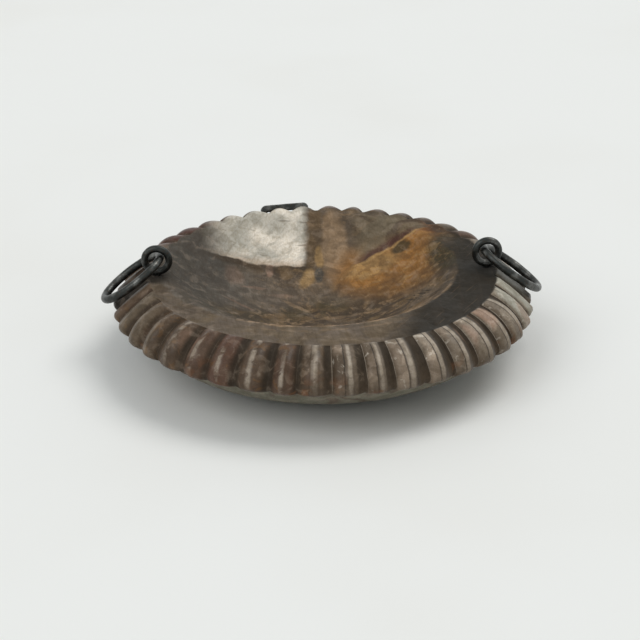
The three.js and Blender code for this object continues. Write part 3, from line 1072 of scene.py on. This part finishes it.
# A light line where the lip rolls over into the hollow: a worn edge with a painted highlight on it
worn_highlit_line = abs(line_away).step(0.0045, 0.001) * lined_front
second_line = abs(line_away - SECOND_LINE_MM * MM).step(0.0022, 0.0004) * lined_front
tone = tone.coat(worn_highlit_line * 0.8, x.step(-0.1, -0.05).tint(SLATE_PALE, LINE_TAN))
tone = tone.coat(second_line * 0.35, dust)
# The right lip and the right side are painted near black
dark_lip = on_lip * beyond((84, -60), -14, 44)
tone = tone.coat(beyond((112, -20), -14, 36) * 0.6, BROWN_BLACK)
tone = tone.coat(dark_lip * 0.95, BROWN_BLACK)
print("lip wired")

# %% The wood: light veins, specks and scratches
VEIN_SIZE = 0.024
vein_place = paint.combine(plan_x, plan_y * 1.6, z)
veins = paint.result("ShaderNodeTexVoronoi", {"Vector": vein_place, "Scale": 1 / VEIN_SIZE},
                     feature="DISTANCE_TO_EDGE")
in_hollow = line_away.step(0.004, -0.004)
vein = veins.step(0.07, 0) * in_hollow * marbling.step(0.44, 0.58) * (1 - pale_and_reflected)


def scratches(offset, degrees, gap, rare):
    """Fine straight scratches in one direction, as far apart as gap."""
    along, across = turned(x, y, degrees)
    streaks = paint.combine(along * 0.06, across + offset, z * 0.3).noise(gap, 1)
    return streaks.step(rare, rare + 0.07)


scratch = scratches(0.1, 4, 0.0021, 0.64) * marbling.step(0.38, 0.6)
cross_scratch = scratches(0.6, 62, 0.0026, 0.68)
speck = at.noise(0.0017, 2).step(0.66, 0.76)
knife = patch((90, 0), (14, 9), -10, 0.4) * scratches(0.9, -55, 0.0022, 0.5)
for amount, stain in (
    (vein * 0.16, dust),
    (scratch * (0.2 + 0.3 * pale_and_reflected), HEARTWOOD_DARK),
    (cross_scratch * 0.12, dust),
    (speck * (0.35 - 0.2 * pale_and_reflected), BROWN_BLACK),
    (knife * 0.7, BROWN_BLACK),
):
    tone = tone.coat(amount, stain)
print("fine marks wired")

# %% [markdown]
# ## The rim's paint
#
# Hands polish the crowns and leave the flutes alone. The flutes are painted darker where the tree stored
# a deep cut, as shade with some dirt, and a narrow painted highlight runs along the crowns. On the lobes
# that were gone over again, the flat facet is dry and painted pale, partly as light, the crease beside it
# holds a painted dark line of shade, the roll carries a painted highlight, and the far flank is painted
# almost black as shade. The stored share across the lobe says which is which.

# %% The wood: the plain lobes
depth = stored(paint, "flute_depth")
lobe_tone = stored(paint, "lobe_tone")
band = stored(paint, "band")
second_pass = stored(paint, "second_pass")
rough_edge = (at.noise(0.007) - 0.5) * 0.16
across_lobe = stored(paint, "lobe_across") + rough_edge * 0.4
low_on_lobe = z.step(0.072, 0.045)
# The upper part of each lobe, where the painted highlights go
highlit_top = z.step(0.04, 0.062) * smudges.step(0.36, 0.5)
front_hand = x.step(-0.19, -0.06)
plain_lobe = mottled(lobe_tone.tint(LOBE_BROWN, LOBE_RED), (
    (marbling, 0.47, 0.57, 0.2, TAUPE),
    (clouds, 0.5, 0.58, 0.55, HEARTWOOD_DARK),
    (smudges, 0.56, 0.64, 0.4, OCHRE_DEEP),
    (smudges, 0.4, 0.32, 0.16, LOBE_PALE),
))
# A narrow painted highlight along each crown, strongest at the front
ridge_line = abs(across_lobe - 0.46).step(0.12, 0.03)
ridge_highlight = ridge_line * highlit_top * marbling.step(0.38, 0.52) * (0.22 + 0.5 * front_hand * front)
# Darker down in the flutes: painted shade in the recess, with some dirt
flute_shade_share = (depth + rough_edge).step(0.3, 0.75) * (0.5 + 0.35 * front_hand)
plain_lobe = plain_lobe.coat(ridge_highlight, ROLL_LIGHT).coat(flute_shade_share, FLUTE_SHADE_AND_DIRT)
print("plain lobes wired")

# %% The wood: the lobes that were gone over again
right_hand = x.step(0.02, 0.1)
# The flat facet, painted pale and paler to the right: partly pale wood, partly painted light
flat_tone = mottled((right_hand * 0.46 + 0.08).tint(LOBE_BROWN, LOBE_PALE), (
    (clouds, 0.48, 0.6, 0.45, CREAM_PINK),
    (marbling, 0.54, 0.44, 0.5, LOBE_BROWN),
    (smudges, 0.58, 0.66, 0.4, CREAM),
))
# A painted highlight along the roll
roll_line = abs(across_lobe + 0.07 * right_hand - 0.52).step(0.1, 0.03)
roll_tone = (right_hand * 0.4 + 0.15).tint(LOBE_BROWN, ROLL_LIGHT)
roll_tone = roll_tone.coat(roll_line * (highlit_top * 0.5 + 0.45), ROLL_LIGHT)
carved_lobe = across_lobe.step(FACET_CREASE - 0.02, FACET_CREASE + 0.02).tint(flat_tone, roll_tone)
crease = abs(across_lobe - FACET_CREASE).step(0.03, 0.008)
# Painted shade: the far flank, the crease, the bottom of the flute, and the lower end of each lobe where it
# turns under
for amount, stain in (
    ((across_lobe + 0.22 * right_hand).step(0.7, 0.8), FLANK_SHADE),
    (crease * 0.75, FLUTE_SHADE_AND_DIRT),
    (across_lobe.step(0.06, 0.01), FLUTE_SHADE_AND_DIRT),
    (low_on_lobe * 0.6, LOBE_BROWN),
):
    carved_lobe = carved_lobe.coat(amount, stain)
print("carved lobes wired")

# %% The wood: both kinds of lobe, with stains and patches of painted shade
CREST_RADII = (0.171, 0.179)
LOBE_STAINS_AND_SHADE = (
    ((-150, 104), (34, 40), 0, 0.6, WINE, 0.6),
    ((178, -26), (20, 38), 0, 0.6, LICHEN_GREY, 0.7),
    # Painted shade on the lower outer ends of the lobes at the right
    ((206, -28), (12, 44), 0, 0.6, SHADE_OLIVE, 0.55),
    ((186, -46), (8, 14), 0, 0.6, LOBE_PINK, 0.45),
    ((-178, -62), (36, 60), 0, 0.6, SHADE_OLIVE, 0.35),
    ((-120, -138), (9, 12), 0, 0.6, LOBE_PINK, 0.3),
    ((146, -98), (13, 12), 0, 0.6, LOBE_PINK, 0.6),
    ((128, -128), (10, 9), 0, 0.6, LOBE_PINK, 0.4),
)
lobe_paint = second_pass.tint(plain_lobe, carved_lobe)
orange_wear = at.noise(0.017, 2).step(0.58, 0.66) * 0.6
lobe_paint = lobe_paint.coat(orange_wear * low_on_lobe, RUST)
lobe_paint = patched(lobe_paint, LOBE_STAINS_AND_SHADE, within=depth.step(0.8, 0.3))
# The pale quarter and its painted reflection run on over the crest lobes
lobe_paint = lobe_paint.coat(pale_and_reflected * distance(x, y).step(CREST_RADII[1], CREST_RADII[0]), pale)
tone = tone.coat(band.step(0.3, 0.9), lobe_paint)
print("lobes wired")

# %% The wood: belly, darker wood under the rings, blotches and grain
UNDER_RING_REACH = 1.12
outside = 1 - stored(paint, "inside")
belly = marbling.step(0.35, 0.5).tint(TAUPE, BELLY_GREY)
tone = tone.coat(outside * band.step(0.6, 0.1), belly)
# The wood under each ring is painted darker
for centre in eye_centres.values():
    under_ring_mm = (centre.x * UNDER_RING_REACH / MM, centre.y / MM)
    tone = tone.coat(patch(under_ring_mm, (36, 24), 0, 0.8) * 0.85, UNDER_RING_DARK)
blotches = at.moved((0.4, 0.3, 0.6)).noise(0.011, 3, 0.5, 0.5)
tone = tone.coat(blotches.step(0.46, 0.6), BLOTCH_SHADE, "MULTIPLY")
tone = tone.coat(blotches.step(0.45, 0.34) * (1 - dark_lip) * 0.1, CREAM_PINK)
tone = tone.coat(late_wood.step(0.35, 1) * 0.14, HEARTWOOD_DARK)
tone = tone.coat(fine_grain.step(0.42, 0.62), GRAIN_SHADE, "MULTIPLY")
paint.feed(wood_shader, {"Base Color": tone})
print("belly and stain wired")

# %% [markdown]
# ## Sheen and relief
#
# Old handled wood is satin on the crowns and dry in the hollow. Roughness follows the same masks as the
# colour. The relief that is too fine for the mesh, such as pores, scratches and the small flats of the
# gouge, is a bump whose height is worked out in millimetres, so it is as deep as on the real dish.

# %% The wood: roughness and relief
DRY_WOOD = (0.7, 0.86)
DRY_PALE_QUARTER = 0.92
POLISHED_CROWN = 0.34
DIRTY_FLUTE = 0.75
UNEVEN = 0.25
rough = marbling.step(0.4, 0.65).between(*DRY_WOOD)
rough = (pale_and_reflected * (1 - band)).between(rough, DRY_PALE_QUARTER)
rough = (band * depth.step(0.5, 0.1)).between(rough, POLISHED_CROWN)
rough = (depth.step(0.6, 1) * band).between(rough, DIRTY_FLUTE)
rough = rough + (smudges - 0.5) * UNEVEN
paint.feed(wood_shader, {"Roughness": rough, "IOR": 1.45, "Specular IOR Level": 0.26})

relief = at.noise(0.012, 1) * 0.6
for mark, height_mm in (
    (at.noise(0.0045, 2), 0.22),
    (fine_grain, 0.04),
    (late_wood, 0.05),
    (grain_at.noise(0.0011, 2).step(0.6, 0.72), -0.09),
    (scratch, -0.1),
    (cross_scratch, -0.07),
    (knife, -0.3),
    (vein, -0.06),
    (crease * second_pass * band, -0.35),
):
    relief = relief + mark * height_mm
relieved(paint, wood_shader, relief)
print("wood done:", len(wood.node_tree.nodes), "nodes")

# %% [markdown]
# ## Forged iron
#
# Black iron from the forge is not paint and not polish: a dark scale, rubbed to bare grey in patches,
# with spots of brown rust. A metal with a rough, uneven surface shows that, because its highlights break
# up over the hammer's flats.

# %% The iron
SCALE_BLACK = (0.034, 0.037, 0.035)
BARE_IRON = (0.2, 0.2, 0.19)
OLD_RUST = (0.05, 0.032, 0.022)
IRON_ROUGH = 0.48
IRON_RUBBED = 0.2
IRON_UNEVEN = 0.34
IRON_METALLIC = 0.85
smithy, iron_shader = paint_tree(iron)
iron_at = object_place(smithy)
patina = iron_at.noise(0.012, 4)
fine = iron_at.noise(0.0018)
skin = (patina.step(0.45, 0.7) * 0.6).tint(SCALE_BLACK, BARE_IRON)
skin = skin.coat(fine.step(0.52, 0.7) * 0.7, OLD_RUST)
iron_rough = patina.between(IRON_ROUGH, IRON_RUBBED) + (fine - 0.5) * IRON_UNEVEN
smithy.feed(iron_shader, {"Base Color": skin, "Roughness": iron_rough, "Metallic": IRON_METALLIC})
relieved(smithy, iron_shader, iron_at.noise(0.004, 2) * 0.3 + fine * 0.12)
print("iron done:", len(iron.node_tree.nodes), "nodes")

# %% [markdown]
# ## The table and the light
#
# The dish stands on a pale, faintly mottled table. A broad lamp behind it on the right works like a
# window: it lights the pale quarter and lays a soft shadow to the left. A weaker and even broader one
# from the front left opens the shadow under the rim, and an even sky fills the rest, up to a level at
# which a colour shows as it is written.

# %% The table
FLOOR_HALF = 15
FLOOR_PALE = (0.85, 0.86, 0.85)
FLOOR_WARM = (0.81, 0.81, 0.785)
floor_mesh = bpy.data.meshes.new("table_top")
corners = [(side * FLOOR_HALF, end * FLOOR_HALF, 0) for side, end in ((-1, -1), (1, -1), (1, 1), (-1, 1))]
floor_mesh.from_pydata(corners, [], [(0, 1, 2, 3)])
floor = placed("table_top", floor_mesh)
plaster = bpy.data.materials.new("pale_plaster")
table, floor_shader = paint_tree(plaster)
mottle = object_place(table).noise(0.5, 3, 0.5)
floor_tone = (mottle.step(0.45, 0.7) * 0.5).tint(FLOOR_PALE, FLOOR_WARM)
table.feed(floor_shader, {"Base Color": floor_tone, "Roughness": 0.7, "Specular IOR Level": 0.2})
floor.data.materials.append(plaster)
print("table ready")

# %% The sky: pale where it is seen, dimmer where it lights the dish
SKY_COLOUR = (0.80, 0.82, 0.81)
SKY_SEEN = 1.0
SKY_FILL = 0.57
world = bpy.data.worlds.new("studio")
world.use_nodes = True
scene.world = world
world.node_tree.nodes.clear()
sky = Graph(world.node_tree)
rays = sky.node("ShaderNodeLightPath").outputs
seen = sky.math("MAXIMUM", Value(sky, rays["Is Camera Ray"]), Value(sky, rays["Is Glossy Ray"]))
seen = sky.math("MAXIMUM", seen, Value(sky, rays["Is Transmission Ray"]))
level = seen.between(SKY_FILL, SKY_SEEN)
backdrop = sky.result("ShaderNodeBackground", {"Color": SKY_COLOUR, "Strength": level})
sky.node("ShaderNodeOutputWorld", {"Surface": backdrop})
print("sky ready")

# %% The lamps
LAMPS = (
    ("window", 1.15, 26, 60, 36, (1.0, 0.985, 0.96)),
    ("front_fill", 0.9, 222, 42, 44, (0.97, 0.985, 1.0)),
)
for name, strength, turn_degrees, height_degrees, spread_degrees, colour in LAMPS:
    lamp_data = bpy.data.lights.new(name, "SUN")
    lamp_data.energy = strength
    lamp_data.angle = math.radians(spread_degrees)
    lamp_data.color = colour
    lamp = placed(name, lamp_data)
    cosine, sine = heading(turn_degrees)
    flat, height = heading(height_degrees)
    from_where = Vector((cosine * flat, sine * flat, height))
    lamp.rotation_euler = from_where.to_track_quat("Z", "Y").to_euler()
scene.view_settings.view_transform = "Standard"
print(f"{len(LAMPS)} lamps ready")
